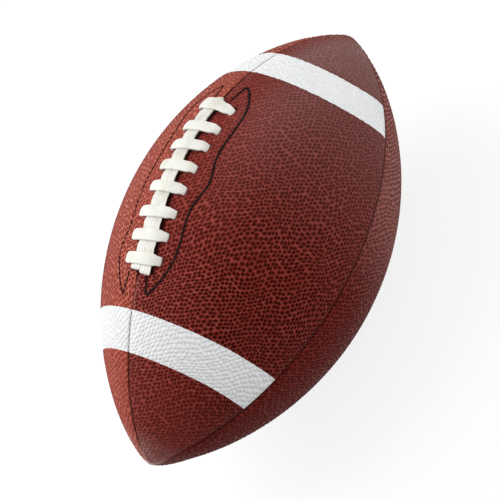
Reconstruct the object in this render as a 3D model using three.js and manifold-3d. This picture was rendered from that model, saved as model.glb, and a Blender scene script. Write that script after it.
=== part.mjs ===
// American football: a laced leather cover of four lined panels round a valved bladder.
// Millimetres. X runs from tip to tip, the laces are up along +Z, and the ball lies on its base seam at z = 0.
// Left is +Y and right is -Y, seen from the -X tip with the laces up.

import * as THREE from 'three';
import { mergeVertices } from 'three/addons/utils/BufferGeometryUtils.js';
import Module from 'manifold-3d';

// Ball outline: radius = HALF_WIDTH * (1 - |x / HALF_LENGTH| ^ BELLY_POWER) ^ TIP_POWER
const HALF_LENGTH = 142;
const HALF_WIDTH = 79;
const BELLY_POWER = 2.01;
const TIP_POWER = 0.74;
const FLAT_DEPTH = 1.0; // the base pressed flat where the ball lies
const STATIONS = 22; // facets from tip to tip, an even number
const SEGMENTS = 24; // facets round the ball, a multiple of four

// Layers, outside to inside
const LEATHER = 2.0;
const LINING = 1.2;
const FACING = 1.8;
const TONGUE = 1.0;
const BLADDER_WALL = 0.9;
const LAYER_GAP = 0.3;
const FACET_ROOM = 1.3; // gap where a curved run passes under flat facets

// Seams: the panel edges turn inward and are sewn together below the lining
const SEAM_GAP = 0.3;
const SEAM_GROOVE_WIDTH = 1.6;
const SEAM_GROOVE_DEPTH = 1.0;
const FLANGE_BELOW_THREAD = 0.8;
const THREAD = 0.8;
const THREAD_CLEARANCE = 0.15;
const STITCH_HOLE_REACH = 0.2; // share of the layers that a hole runs past them
const THREAD_BELOW_LINING = 0.9;
const SEAM_STITCH = 28;
const SEAM_END_MARGIN = 16; // seam left unsewn at each tip

// Lace
const CROSS_COUNT = 8;
const CROSS_PITCH = 13.7;
const LACE_WIDTH = 6.0;
const LACE_THICK = 1.6;
const LACE_BEVEL = 0.5;
const LACE_BEND = 2.2;
const SHARP_BEND = 2.7; // radians between the two runs of a corner that is rounded
const LACE_TUCK = 9.0; // length of each end tucked inside
const STRAND_WIDTH = 5.2;
const STRAND_TAIL = 2.4; // strand that shows past the last cross
const ROW_TO_SPINE = 12.4; // lace holes from the middle of the lacing
const LACING_ASIDE = 1.3; // the lacing sits this far to the right of the seam
const LACING_BACK = 1.4; // and this far towards the rear tip
const CROSS_END_HEIGHT = 1.3; // middle of the lace above the leather where it dives
const HOLE_CLEARANCE = 0.35;

// Half-moon facings and their stitches
const MOON_BEYOND_ROW = 9.6; // stitch line outside the row of lace holes
const MOON_TIP_OVERHANG = 17.0; // pointed end past the last cross
const MOON_TIP_TO_SEAM = 9.2;
const MOON_SHOULDER_INSET = 4.0;
const MOON_RETURN = 8.0; // stitch back along the lacing from each point
const FACING_MARGIN = 4.0;
const MOON_STITCHES = 8; // runs from point to point
const TONGUE_MARGIN = 4.0;
const POCKET_MARGIN = 4.0; // dent of the bladder round the facings

// Valve, in the left base panel
const VALVE_X = 0;
const VALVE_ANGLE = 135; // degrees from the laces towards the left
const VALVE_SINK = 0.8; // nose below the leather
const NOSE_RADIUS = 3.0;
const NECK_RADIUS = 4.4;
const VALVE_DISC_RADIUS = 10;
const VALVE_DISC = 1.6;
const VALVE_BORE_RADIUS = 2.0;
const VALVE_CORE_LENGTH = 13;
const VALVE_FLOOR = 1.5;
const AIR_PASSAGE_RADIUS = 0.8;
const CORE_CLEARANCE = 0.3;
const CORE_TAPER = 1.5;
const NEEDLE_GUIDE_RADIUS = 0.6;
const NEEDLE_GUIDE_DEPTH = 4.0;
const PATCH = 1.0;
const PATCH_RADIUS = 15;
const ROUND_SIDES = 16;

// Depths below the outer leather surface
const liningTop = LEATHER + LAYER_GAP;
const liningBottom = liningTop + LINING;
const seamThreadDepth = liningBottom + THREAD_BELOW_LINING + THREAD / 2;
const flangeDepth = seamThreadDepth + THREAD / 2 + FLANGE_BELOW_THREAD;
const facingTop = liningBottom + LAYER_GAP;
const facingBottom = facingTop + FACING;
const laceRunTop = Math.max(facingBottom, flangeDepth) + FACET_ROOM;
const laceRunBottom = laceRunTop + LACE_THICK;
const tongueTop = laceRunBottom + LAYER_GAP;
const tongueBottom = tongueTop + TONGUE;
const bladderTop = flangeDepth + LAYER_GAP;
const pocketDepth = tongueBottom + LAYER_GAP;
const patchBottom = bladderTop - LAYER_GAP;
const patchTop = patchBottom - PATCH;

// Places along and beside the lacing
const lastCross = ((CROSS_COUNT - 1) * CROSS_PITCH) / 2;
const strandEnd = lastCross + LACE_WIDTH / 2 + STRAND_TAIL;
const strandInner = SEAM_GAP / 2;
const strandOuter = strandInner + STRAND_WIDTH;
const moonTip = lastCross + MOON_TIP_OVERHANG;
const moonReach = ROW_TO_SPINE + MOON_BEYOND_ROW;
const flangeOuter = SEAM_GAP / 2 + LEATHER;
const insideFlange = flangeOuter + LAYER_GAP;
const farAway = 2 * (HALF_LENGTH + HALF_WIDTH);

const wasm = await Module();
wasm.setup();

// Radius and outward normal of the ball's outline at a place along its length
function outlineAt(x) {
  const share = Math.min(Math.abs(x) / HALF_LENGTH, 1);
  const rest = 1 - share ** BELLY_POWER;
  if (rest <= 0) return { r: 0, nx: Math.sign(x), nr: 0 };
  const r = HALF_WIDTH * rest ** TIP_POWER;
  const fall = (r / rest) * TIP_POWER * BELLY_POWER * share ** (BELLY_POWER - 1) / HALF_LENGTH;
  const length = Math.hypot(1, fall);
  return { r, nx: (Math.sign(x) * fall) / length, nr: 1 / length };
}

function stationX(i, stations) {
  return -HALF_LENGTH * Math.cos((Math.PI * i) / stations);
}

// A point set by its place along the ball, its distance round from a meridian and its height over the leather.
function place(x, around, height, meridian = 0) {
  const { r, nx, nr } = outlineAt(x);
  const angle = meridian + (r > 0 ? around / r : 0);
  const out = r + height * nr;
  return new THREE.Vector3(x + height * nx, out * Math.sin(angle), out * Math.cos(angle));
}

// A point beside a seam: straight out from the seam plane, at a depth below the seam line.
function besideSeam(x, aside, depth, meridian) {
  const across = new THREE.Vector3(0, Math.cos(meridian), -Math.sin(meridian));
  return place(x, 0, -depth, meridian).addScaledVector(across, aside);
}

function toSolid(geometry) {
  const bare = new THREE.BufferGeometry();
  bare.setAttribute('position', geometry.getAttribute('position'));
  bare.setIndex(geometry.getIndex());
  const merged = mergeVertices(bare, 1e-4);
  const corners = merged.getIndex().array;
  const triangles = [];
  for (let i = 0; i < corners.length; i += 3) {
    const [a, b, c] = [corners[i], corners[i + 1], corners[i + 2]];
    if (a !== b && b !== c && c !== a) triangles.push(a, b, c);
  }
  return new wasm.Manifold(new wasm.Mesh({
    numProp: 3,
    vertProperties: new Float32Array(merged.getAttribute('position').array),
    triVerts: new Uint32Array(triangles),
  }));
}

function toGeometry(solid) {
  const mesh = solid.getMesh();
  const geometry = new THREE.BufferGeometry();
  geometry.setAttribute('position', new THREE.BufferAttribute(mesh.vertProperties, mesh.numProp));
  geometry.setIndex(new THREE.BufferAttribute(mesh.triVerts, 1));
  geometry.computeVertexNormals();
  return geometry;
}

function union(solids) {
  return solids.reduce((whole, solid) => whole.add(solid));
}

function cut(solid, cutters) {
  return cutters.reduce((left, cutter) => left.subtract(cutter), solid);
}

// Skins a row of rings into one closed body, with its faces out whichever way the rings run.
function loft(rings) {
  const count = rings[0].length;
  const positions = rings.flat().flatMap((point) => point.toArray());
  const index = [];
  const last = (rings.length - 1) * count;
  for (let here = 0; here < last; here += count) {
    const there = here + count;
    for (let j = 0; j < count; j += 1) {
      const next = (j + 1) % count;
      index.push(here + j, here + next, there + next, here + j, there + next, there + j);
    }
  }
  for (let j = 1; j < count - 1; j += 1) index.push(0, j + 1, j, last, last + j, last + j + 1);
  if (volumeOf(positions, index) < 0) index.reverse();
  const geometry = new THREE.BufferGeometry();
  geometry.setAttribute('position', new THREE.Float32BufferAttribute(positions, 3));
  geometry.setIndex(index);
  geometry.computeVertexNormals();
  return geometry;
}

function volumeOf(positions, index) {
  const corner = (k) => new THREE.Vector3().fromArray(positions, index[k] * 3);
  let volume = 0;
  for (let i = 0; i < index.length; i += 3) {
    volume += corner(i).dot(corner(i + 1).cross(corner(i + 2))) / 6;
  }
  return volume;
}

// A thread of round section along a bent line, mitred at each bend
function tube(points, radius, sides = 5) {
  const along = points.slice(1).map((point, i) => point.clone().sub(points[i]).normalize());
  const across = new THREE.Vector3(1, 1, 1).cross(along[0]).normalize();
  let ring = Array.from({ length: sides }, (_, j) => {
    const turn = (2 * Math.PI * j) / sides;
    return across.clone().applyAxisAngle(along[0], turn).multiplyScalar(radius).add(points[0]);
  });
  const rings = [ring];
  for (let i = 1; i < points.length; i += 1) {
    const ahead = along[i - 1];
    const mitre = ahead.clone().add(along[Math.min(i, along.length - 1)]).normalize();
    ring = ring.map((corner) => {
      const reach = points[i].clone().sub(corner).dot(mitre) / ahead.dot(mitre);
      return corner.clone().addScaledVector(ahead, reach);
    });
    rings.push(ring);
  }
  return loft(rings);
}

// A running stitch: along one side of the layers, through them, and along the other side.
function runningStitch(stops, over, under) {
  const points = [];
  for (let k = 0; k < stops.length - 1; k += 1) {
    const side = k % 2 === 0 ? over : under;
    const middle = (stops[k] + stops[k + 1]) / 2;
    points.push(side(stops[k]), side(middle), side(stops[k + 1]));
  }
  const holes = stops.slice(1, -1).map((stop) => {
    const reach = over(stop).sub(under(stop)).multiplyScalar(STITCH_HOLE_REACH);
    return toSolid(tube([under(stop).sub(reach), over(stop).add(reach)], THREAD / 2 + THREAD_CLEARANCE));
  });
  return { thread: tube(points, THREAD / 2), holes };
}

function evenStops(from, to, steps) {
  return Array.from({ length: steps + 1 }, (_, k) => from + ((to - from) * k) / steps);
}

// The solid inside the leather surface lowered by a depth
function core(depth, stations = STATIONS, segments = SEGMENTS) {
  const points = [];
  for (let i = 1; i < stations; i += 1) {
    const x = stationX(i, stations);
    const { r, nx, nr } = outlineAt(x);
    const lowered = r - depth * nr;
    if (lowered > depth / 2) points.push(new THREE.Vector2(lowered, x - depth * nx));
  }
  const [first, second] = points;
  const tip = depth > 0 ? first.y - (first.x * (second.y - first.y)) / (second.x - first.x) : -HALF_LENGTH;
  const outline = [new THREE.Vector2(0, tip), ...points, new THREE.Vector2(0, -tip)];
  return toSolid(new THREE.LatheGeometry(outline, segments).rotateZ(-Math.PI / 2));
}

function shell(top, bottom) {
  return core(top).subtract(core(bottom));
}

function box(low, high) {
  const size = new THREE.Vector3().subVectors(high, low);
  const middle = new THREE.Vector3().addVectors(low, high).multiplyScalar(0.5);
  const geometry = new THREE.BoxGeometry(size.x, size.y, size.z);
  return toSolid(geometry.translate(middle.x, middle.y, middle.z));
}

// The part of a quarter of space that starts at set distances from the level and upright seam planes
function quarter(left, up, y0, z0, y1 = farAway, z1 = farAway) {
  const ys = [left * y0, left * y1];
  const zs = [up * z0, up * z1];
  const low = new THREE.Vector3(-farAway, Math.min(...ys), Math.min(...zs));
  const high = new THREE.Vector3(farAway, Math.max(...ys), Math.max(...zs));
  return box(low, high);
}

// A sewn seam: its thread and the holes through both turned-in edges
function sewnSeam(meridian, from, to) {
  const aside = flangeOuter + THREAD_CLEARANCE + THREAD / 2;
  const over = (x) => besideSeam(x, aside, seamThreadDepth, meridian);
  const under = (x) => besideSeam(x, -aside, seamThreadDepth, meridian);
  const steps = Math.max(2, Math.round((to - from) / SEAM_STITCH));
  return runningStitch(evenStops(from, to, steps), over, under);
}

// A slab laid on the ball beside the lace seam
function laid(x0, x1, around0, around1, height0, height1, steps) {
  const rings = Array.from({ length: steps + 1 }, (_, i) => {
    const x = x0 + ((x1 - x0) * i) / steps;
    return [
      place(x, around0, height0),
      place(x, around1, height0),
      place(x, around1, height1),
      place(x, around0, height1),
    ];
  });
  return loft(rings);
}

// Half-moon edge in plan from one pointed end to the other, grown by a margin
function moonEdge(path, grow) {
  const tip = moonTip + grow;
  const shoulder = lastCross - MOON_SHOULDER_INSET;
  const bulgeX = (moonTip + 2 * lastCross) / 3 + MOON_SHOULDER_INSET + grow;
  const bulgeY = moonReach - MOON_SHOULDER_INSET + grow;
  path.quadraticCurveTo(bulgeX, bulgeY, shoulder, moonReach + grow);
  path.lineTo(-shoulder, moonReach + grow);
  path.quadraticCurveTo(-bulgeX, bulgeY, -tip, MOON_TIP_TO_SEAM);
  return path;
}

function facingPlan() {
  const tip = moonTip + FACING_MARGIN;
  const plan = new THREE.Shape();
  plan.moveTo(-tip, insideFlange);
  plan.lineTo(tip, insideFlange);
  plan.lineTo(tip, MOON_TIP_TO_SEAM);
  return moonEdge(plan, FACING_MARGIN);
}

// The stitch that holds a facing: out from the lacing, round the half-moon and back
function facingStitch(left) {
  const returnEnd = strandOuter + LACING_ASIDE + LAYER_GAP + THREAD;
  const plan = new THREE.Path();
  plan.moveTo(moonTip - MOON_RETURN, returnEnd);
  plan.lineTo(moonTip, MOON_TIP_TO_SEAM);
  moonEdge(plan, 0);
  plan.lineTo(-moonTip + MOON_RETURN, returnEnd);
  const at = (share, height) => {
    const spot = plan.getPointAt(share);
    return place(spot.x, left * spot.y, height);
  };
  const over = (share) => at(share, LAYER_GAP + THREAD / 2);
  const under = (share) => at(share, -facingBottom - FACET_ROOM - THREAD / 2);
  const tipShare = plan.getCurveLengths()[0] / plan.getLength();
  return runningStitch([0, ...evenStops(tipShare, 1 - tipShare, MOON_STITCHES), 1], over, under);
}

function crossX(i) {
  return (i - (CROSS_COUNT - 1) / 2) * CROSS_PITCH - LACING_BACK;
}

// Replaces each sharp corner of a bent line by three points on a curve.
function eased(points, radius) {
  const line = [points[0]];
  for (let i = 1; i < points.length - 1; i += 1) {
    const [before, corner, after] = points.slice(i - 1, i + 2);
    const back = before.clone().sub(corner);
    const on = after.clone().sub(corner);
    if (back.angleTo(on) > SHARP_BEND) {
      line.push(corner);
      continue;
    }
    const start = corner.clone().addScaledVector(back, Math.min(radius / back.length(), 0.45));
    const end = corner.clone().addScaledVector(on, Math.min(radius / on.length(), 0.45));
    const middle = start.clone().add(end).addScaledVector(corner, 2).multiplyScalar(0.25);
    line.push(start, middle, end);
  }
  line.push(points[points.length - 1]);
  return line;
}

// The lace as laid out flat: x along the ball, y round from the seam, z above the leather.
function laceRoute() {
  const over = LAYER_GAP + LACE_THICK + LAYER_GAP + LACE_THICK / 2;
  const inside = -(laceRunTop + LACE_THICK / 2);
  const leftRow = ROW_TO_SPINE - LACING_ASIDE;
  const rightRow = -ROW_TO_SPINE - LACING_ASIDE;
  const crest = strandOuter + LACE_THICK / 4;
  const points = [new THREE.Vector3(crossX(0), rightRow + LACE_TUCK, inside)];
  for (let i = 0; i < CROSS_COUNT; i += 1) {
    const x = crossX(i);
    points.push(
      new THREE.Vector3(x, rightRow, inside),
      new THREE.Vector3(x, rightRow, CROSS_END_HEIGHT),
      new THREE.Vector3(x, -crest - LACING_ASIDE, over),
      new THREE.Vector3(x, -LACING_ASIDE, over),
      new THREE.Vector3(x, crest - LACING_ASIDE, over),
      new THREE.Vector3(x, leftRow, CROSS_END_HEIGHT),
      new THREE.Vector3(x, leftRow, inside),
    );
    if (i < CROSS_COUNT - 1) points.push(new THREE.Vector3(x + CROSS_PITCH / 2, -LACING_ASIDE, inside));
  }
  points.push(new THREE.Vector3(crossX(CROSS_COUNT - 1), leftRow - LACE_TUCK, inside));
  return eased(points, LACE_BEND);
}

// The lace on the ball: a bevelled strip that keeps its width along the ball
function laceStrip() {
  const route = laceRoute();
  const half = LACE_WIDTH / 2;
  const thick = LACE_THICK / 2;
  const flat = half - LACE_BEVEL;
  const section = [[-half, 0], [-flat, -thick], [flat, -thick], [half, 0], [flat, thick], [-flat, thick]];
  const rings = route.map((point, i) => {
    const before = route[Math.max(i - 1, 0)];
    const after = route[Math.min(i + 1, route.length - 1)];
    const square = new THREE.Vector2(-(after.z - before.z), after.y - before.y).normalize();
    return section.map(([wide, deep]) => (
      place(point.x + wide, point.y + deep * square.x, point.z + deep * square.y)
    ));
  });
  return loft(rings);
}

function laceHoles(left) {
  const halfX = LACE_WIDTH / 2 + HOLE_CLEARANCE;
  const halfY = LACE_THICK / 2 + HOLE_CLEARANCE;
  const holes = [];
  for (let i = 0; i < CROSS_COUNT; i += 1) {
    const x = crossX(i);
    const middle = left * ROW_TO_SPINE - LACING_ASIDE;
    const deep = -(facingBottom + FACET_ROOM);
    holes.push(toSolid(laid(x - halfX, x + halfX, middle - halfY, middle + halfY, deep, LACE_THICK, 1)));
  }
  return holes;
}

// Turns a shape built along +Z to stand out through the valve's place.
function atValve(geometry) {
  const turn = new THREE.Matrix4().makeRotationX(-THREE.MathUtils.degToRad(VALVE_ANGLE));
  return geometry.applyMatrix4(turn).translate(VALVE_X, 0, 0);
}

// A turned piece about the valve's axis, from radius and height pairs
function turned(pairs) {
  const outline = pairs.map(([radius, height]) => new THREE.Vector2(radius, height));
  return toSolid(atValve(new THREE.LatheGeometry(outline, ROUND_SIDES).rotateX(Math.PI / 2)));
}

function rod(radius, low, high) {
  return turned([[0, low], [radius, low], [radius, high], [0, high]]);
}

const leather = { color: 0x6b302a, roughness: 0.5, metalness: 0 };
const cloth = { color: 0xcfc8b8, roughness: 0.95, metalness: 0 };
const facingHide = { color: 0x8d8478, roughness: 0.8, metalness: 0 };
const rubber = { color: 0x1f1f21, roughness: 0.7, metalness: 0 };
const bladderSkin = { color: 0x3a3430, roughness: 0.6, metalness: 0 };
const laceSkin = { color: 0xe8e5dc, roughness: 0.5, metalness: 0 };
const blackThread = { color: 0x141416, roughness: 0.8, metalness: 0 };
const waxedThread = { color: 0xb9a483, roughness: 0.8, metalness: 0 };

const football = new THREE.Group();
football.position.z = HALF_WIDTH - FLAT_DEPTH;

function addPiece(name, shape, look) {
  const geometry = shape.isBufferGeometry ? shape : toGeometry(shape);
  const mesh = new THREE.Mesh(geometry, new THREE.MeshStandardMaterial(look));
  mesh.name = name;
  football.add(mesh);
}

// Seam stitching
const laceSeam = 0;
const leftSeam = Math.PI / 2;
const baseSeam = Math.PI;
const rightSeam = -Math.PI / 2;
const sewnEnd = HALF_LENGTH - SEAM_END_MARGIN;
const sewnStart = moonTip + FACING_MARGIN + LEATHER + LAYER_GAP;
const seams = {
  seam_thread_left: sewnSeam(leftSeam, -sewnEnd, sewnEnd),
  seam_thread_right: sewnSeam(rightSeam, -sewnEnd, sewnEnd),
  seam_thread_base: sewnSeam(baseSeam, -sewnEnd, sewnEnd),
  seam_thread_lace_front: sewnSeam(laceSeam, sewnStart, sewnEnd),
  seam_thread_lace_rear: sewnSeam(laceSeam, -sewnEnd, -sewnStart),
};
const seamHoles = Object.values(seams).flatMap((seam) => seam.holes);

// Valve heights, from the middle of the ball
const valveSurface = outlineAt(VALVE_X).r;
const noseTop = valveSurface - VALVE_SINK;
const boreBottom = noseTop - VALVE_CORE_LENGTH - CORE_CLEARANCE;
const housingBottom = boreBottom - VALVE_FLOOR;
const throughLeather = rod(NOSE_RADIUS + LAYER_GAP, housingBottom, valveSurface + LEATHER);
const throughLayers = rod(NECK_RADIUS + LAYER_GAP, housingBottom, valveSurface);

// Cover: leather panels with turned-in edges, each with its cloth lining
const skin = shell(0, LEATHER);
const edges = shell(SEAM_GROOVE_DEPTH, flangeDepth);
const liningSkin = shell(liningTop, liningBottom);
const stitches = { left: facingStitch(1), right: facingStitch(-1) };
const floor = quarter(1, 1, -farAway, -football.position.z);

for (const [side, left] of [['left', 1], ['right', -1]]) {
  for (const [part, up] of [['lace', 1], ['base', -1]]) {
    const laced = part === 'lace' ? [...laceHoles(left), ...stitches[side].holes] : [];
    const valved = part === 'base' && side === 'left';
    const start = SEAM_GAP / 2;
    const turnedIn = union([
      quarter(left, up, start, start, flangeOuter, farAway),
      quarter(left, up, start, start, farAway, flangeOuter),
    ]);
    const sheet = skin.intersect(quarter(left, up, SEAM_GROOVE_WIDTH / 2, SEAM_GROOVE_WIDTH / 2));
    const panel = cut(sheet.add(edges.intersect(turnedIn)).intersect(floor), [...seamHoles, ...laced]);
    addPiece(`${part}_panel_${side}`, valved ? panel.subtract(throughLeather) : panel, leather);
    const backing = cut(liningSkin.intersect(quarter(left, up, insideFlange, insideFlange)), laced);
    addPiece(`${part}_lining_${side}`, valved ? backing.subtract(throughLayers) : backing, cloth);
  }
}

// Lacing: half-moon facings with their stitches, the tongue, the lace and its two lengthwise strands
for (const [side, left] of [['left', 1], ['right', -1]]) {
  const plan = new THREE.ExtrudeGeometry(facingPlan(), { depth: farAway, bevelEnabled: false, curveSegments: 4 });
  const outline = left > 0 ? toSolid(plan) : toSolid(plan.rotateZ(Math.PI));
  const facing = shell(facingTop, facingBottom).intersect(outline);
  addPiece(`facing_${side}`, cut(facing, [...laceHoles(left), ...stitches[side].holes]), facingHide);
  addPiece(`facing_stitch_${side}`, stitches[side].thread, blackThread);
  const strand = laid(-strandEnd - LACING_BACK, strandEnd - LACING_BACK,
    left * strandInner - LACING_ASIDE, left * strandOuter - LACING_ASIDE,
    LAYER_GAP, LAYER_GAP + LACE_THICK, STATIONS / 2);
  addPiece(`lace_strand_${side}`, strand, laceSkin);
}
addPiece('lace', laceStrip(), laceSkin);
const tongueHalfY = ROW_TO_SPINE + TONGUE_MARGIN;
const tongueHalfX = lastCross + LACE_WIDTH / 2 + TONGUE_MARGIN;
const tongueBox = box(
  new THREE.Vector3(-tongueHalfX, -tongueHalfY, 0),
  new THREE.Vector3(tongueHalfX, tongueHalfY, farAway),
);
addPiece('lace_tongue', shell(tongueTop, tongueBottom).intersect(tongueBox), facingHide);

for (const [name, seam] of Object.entries(seams)) addPiece(name, seam.thread, waxedThread);

// Bladder: dented under the lacing, open only where the valve is bonded in
function dented(stations, segments, inset) {
  const halfX = moonTip + FACING_MARGIN + POCKET_MARGIN + inset;
  const halfY = moonReach + FACING_MARGIN + POCKET_MARGIN + inset;
  const dent = box(new THREE.Vector3(-halfX, -halfY, 0), new THREE.Vector3(halfX, halfY, farAway));
  const under = core(pocketDepth + inset, stations, segments);
  return core(bladderTop + inset, stations, segments).subtract(dent.subtract(under));
}
const cavity = dented(STATIONS / 2, SEGMENTS, BLADDER_WALL);
const bladder = cut(dented(STATIONS, SEGMENTS, 0), [cavity, throughLayers]);
addPiece('bladder', bladder, bladderSkin);

// Valve: patch outside the bladder, housing bonded inside it, and the core that pulls out
const patch = shell(patchTop, patchBottom).intersect(rod(PATCH_RADIUS, 0, farAway));
addPiece('valve_patch', patch.subtract(throughLayers), rubber);
const discSpace = dented(STATIONS / 2, SEGMENTS, BLADDER_WALL + LAYER_GAP);
const discTop = valveSurface - bladderTop;
const discBottom = valveSurface * Math.cos((2 * Math.PI) / SEGMENTS) - bladderTop - BLADDER_WALL - VALVE_DISC;
const disc = rod(VALVE_DISC_RADIUS, discBottom - LAYER_GAP, discTop).intersect(discSpace);
const neck = rod(NECK_RADIUS, housingBottom, valveSurface).intersect(core(liningTop));
const nose = rod(NOSE_RADIUS, housingBottom, noseTop);
const bore = turned([
  [0, housingBottom - LEATHER],
  [AIR_PASSAGE_RADIUS, housingBottom - LEATHER],
  [AIR_PASSAGE_RADIUS, boreBottom],
  [VALVE_BORE_RADIUS, boreBottom],
  [VALVE_BORE_RADIUS, valveSurface],
  [0, valveSurface],
]);
addPiece('valve_housing', union([disc, neck, nose]).subtract(bore), rubber);
const coreRadius = VALVE_BORE_RADIUS - CORE_CLEARANCE;
const coreBottom = noseTop - VALVE_CORE_LENGTH;
addPiece('valve_core', turned([
  [0, coreBottom],
  [coreRadius - CORE_TAPER / 3, coreBottom],
  [coreRadius, coreBottom + CORE_TAPER],
  [coreRadius, noseTop],
  [NEEDLE_GUIDE_RADIUS, noseTop],
  [NEEDLE_GUIDE_RADIUS, noseTop - NEEDLE_GUIDE_DEPTH],
  [0, noseTop - NEEDLE_GUIDE_DEPTH - NEEDLE_GUIDE_RADIUS],
]), rubber);

export default football;
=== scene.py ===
import math

import bpy
import numpy as np
from mathutils import Matrix, Vector


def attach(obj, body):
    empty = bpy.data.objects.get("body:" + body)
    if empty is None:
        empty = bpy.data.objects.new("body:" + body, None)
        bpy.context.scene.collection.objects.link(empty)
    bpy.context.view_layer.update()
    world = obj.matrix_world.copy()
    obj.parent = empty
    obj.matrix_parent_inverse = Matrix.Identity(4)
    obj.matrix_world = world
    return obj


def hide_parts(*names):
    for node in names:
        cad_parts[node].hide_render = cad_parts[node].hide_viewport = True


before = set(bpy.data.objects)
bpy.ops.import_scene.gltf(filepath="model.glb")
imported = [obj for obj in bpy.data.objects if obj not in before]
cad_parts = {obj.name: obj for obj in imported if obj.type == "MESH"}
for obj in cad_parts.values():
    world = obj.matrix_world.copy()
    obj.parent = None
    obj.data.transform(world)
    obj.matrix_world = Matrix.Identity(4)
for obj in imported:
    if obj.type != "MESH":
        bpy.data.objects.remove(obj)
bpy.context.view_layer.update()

mm = 0.001

# outline of the ball, in millimetres from its middle
ball = {
    "halfLength": 142.0,
    "halfWidth": 79.0,
    "bellyPower": 2.01,
    "tipPower": 0.74,
    "middleHeight": 78.0,   # middle of the ball above the floor
    "flatEase": 0.15,       # how softly the underside meets the floor
}


def outline(x):
    # radius and outward normal at a place along the ball
    share = np.minimum(np.abs(x) / ball["halfLength"], 1 - 1e-7)
    rest = 1 - share ** ball["bellyPower"]
    radius = ball["halfWidth"] * rest ** ball["tipPower"]
    slope = radius / rest * ball["tipPower"] * ball["bellyPower"]
    slope = slope * share ** (ball["bellyPower"] - 1) / ball["halfLength"]
    length = np.hypot(1, slope)
    return radius, np.sign(x) * slope / length, 1 / length


def onBall(x, around, height, meridian=0.0):
    # x along the ball, distance round from a meridian, height over the leather
    x, around, height = np.broadcast_arrays(*(np.asarray(v, float) for v in (x, around, height)))
    radius, normalX, normalR = outline(x)
    angle = meridian + around / np.maximum(radius, 1e-6)
    out = radius + height * normalR
    return np.stack([x + height * normalX, out * np.sin(angle),
                     out * np.cos(angle) + ball["middleHeight"]], -1)


def smooth(low, high, value):
    t = np.clip((np.asarray(value, float) - low) / (high - low), 0, 1)
    return t * t * (3 - 2 * t)


# length of leather from tip to tip, for spacing rows and grain evenly
tableSteps = 6001
tableX = -ball["halfLength"] * np.cos(np.linspace(0, np.pi, tableSteps))
tableR = outline(tableX)[0]
tableU = np.concatenate([[0], np.cumsum(np.hypot(np.diff(tableX), np.diff(tableR)))])
tableU = tableU - tableU[-1] / 2


def readAll(items, key, kind=np.int32, width=1):
    values = np.empty(len(items) * width, kind)
    items.foreach_get(key, values)
    return values


def meshPoints(mesh):
    # places of the points, in millimetres
    return readAll(mesh.vertices, "co", np.float32, 3).reshape(-1, 3).astype(float) / mm


def facesOut(mesh):
    # turn the faces outward by the sign of the enclosed volume
    mesh.calc_loop_triangles()
    points = meshPoints(mesh)
    corners = readAll(mesh.loop_triangles, "vertices", width=3).reshape(-1, 3)
    a, b, c = (points[corners[:, k]] for k in range(3))
    if np.einsum("ij,ij->i", a, np.cross(b, c)).sum() < 0:
        mesh.flip_normals()


def addObject(name, data):
    thing = bpy.data.objects.new(name, data)
    bpy.context.scene.collection.objects.link(thing)
    return thing


def makePiece(name, points, faces, material, body="ball"):
    mesh = bpy.data.meshes.new(name)
    sizes = np.array([len(f) for f in faces], np.int32)
    corners = np.concatenate([np.asarray(f, np.int32).ravel() for f in faces])
    starts = np.concatenate([[0], np.cumsum(sizes)[:-1]])
    mesh.vertices.add(len(points))
    mesh.vertices.foreach_set("co", (np.asarray(points) * mm).astype(np.float32).ravel())
    mesh.loops.add(len(corners))
    mesh.loops.foreach_set("vertex_index", corners)
    mesh.polygons.add(len(sizes))
    mesh.polygons.foreach_set("loop_start", starts.astype(np.int32))
    mesh.update(calc_edges=True)
    mesh.validate()
    mesh.shade_smooth()
    facesOut(mesh)
    mesh.materials.append(material)
    piece = addObject(name, mesh)
    if body:
        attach(piece, body)
    return piece


def ringFaces(rings, count, start=0, ends="closed"):
    # quads between rings of equal count; the two ends are closed, open, or joined to each other
    here = np.arange(rings if ends == "joined" else rings - 1)[:, None] * count
    there = (here + count) % (rings * count)
    step = np.arange(count)[None, :]
    after = (step + 1) % count
    quads = np.stack([here + step, here + after, there + after, there + step], -1) + start
    faces = list(quads.reshape(-1, 4))
    if ends == "closed":
        faces.append(np.arange(start, start + count)[::-1])
        faces.append(np.arange(start + (rings - 1) * count, start + rings * count))
    return faces


def addNode(tree, kind, inputs=(), **values):
    node = tree.nodes.new(kind)
    for key, value in values.items():
        setattr(node, key, value)
    for key, value in dict(inputs).items():
        setInput(tree, node.inputs[key], value)
    return node


def setInput(tree, socket, value):
    if isinstance(value, bpy.types.NodeSocket):
        tree.links.new(value, socket)
    else:
        socket.default_value = value


def calc(tree, operation, a, b=0.0, c=0.0):
    return addNode(tree, "ShaderNodeMath", {0: a, 1: b, 2: c}, operation=operation).outputs[0]


def times(tree, product, *others):
    for other in others:
        product = calc(tree, "MULTIPLY", product, other)
    return product


def vectorCalc(tree, operation, inputs, out=0):
    return addNode(tree, "ShaderNodeVectorMath", inputs, operation=operation).outputs[out]


def remap(tree, value, low, high, toLow=0.0, toHigh=1.0):
    inputs = {"Value": value, "From Min": low, "From Max": high, "To Min": toLow, "To Max": toHigh}
    return addNode(tree, "ShaderNodeMapRange", inputs, interpolation_type="SMOOTHSTEP").outputs[0]


def mixColour(tree, share, a, b, blend="MIX"):
    node = addNode(tree, "ShaderNodeMix", data_type="RGBA", blend_type=blend)
    setInput(tree, node.inputs[0], share)
    for socket, value in ((node.inputs[6], a), (node.inputs[7], b)):
        setInput(tree, socket, (*value, 1.0) if isinstance(value, tuple) else value)
    return node.outputs[2]


def mixValue(tree, share, a, b):
    return addNode(tree, "ShaderNodeMix", {0: share, 2: a, 3: b}, data_type="FLOAT").outputs[0]


cloudSpan = (0.3, 0.7)   # most of a cloud pattern lies between these


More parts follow.
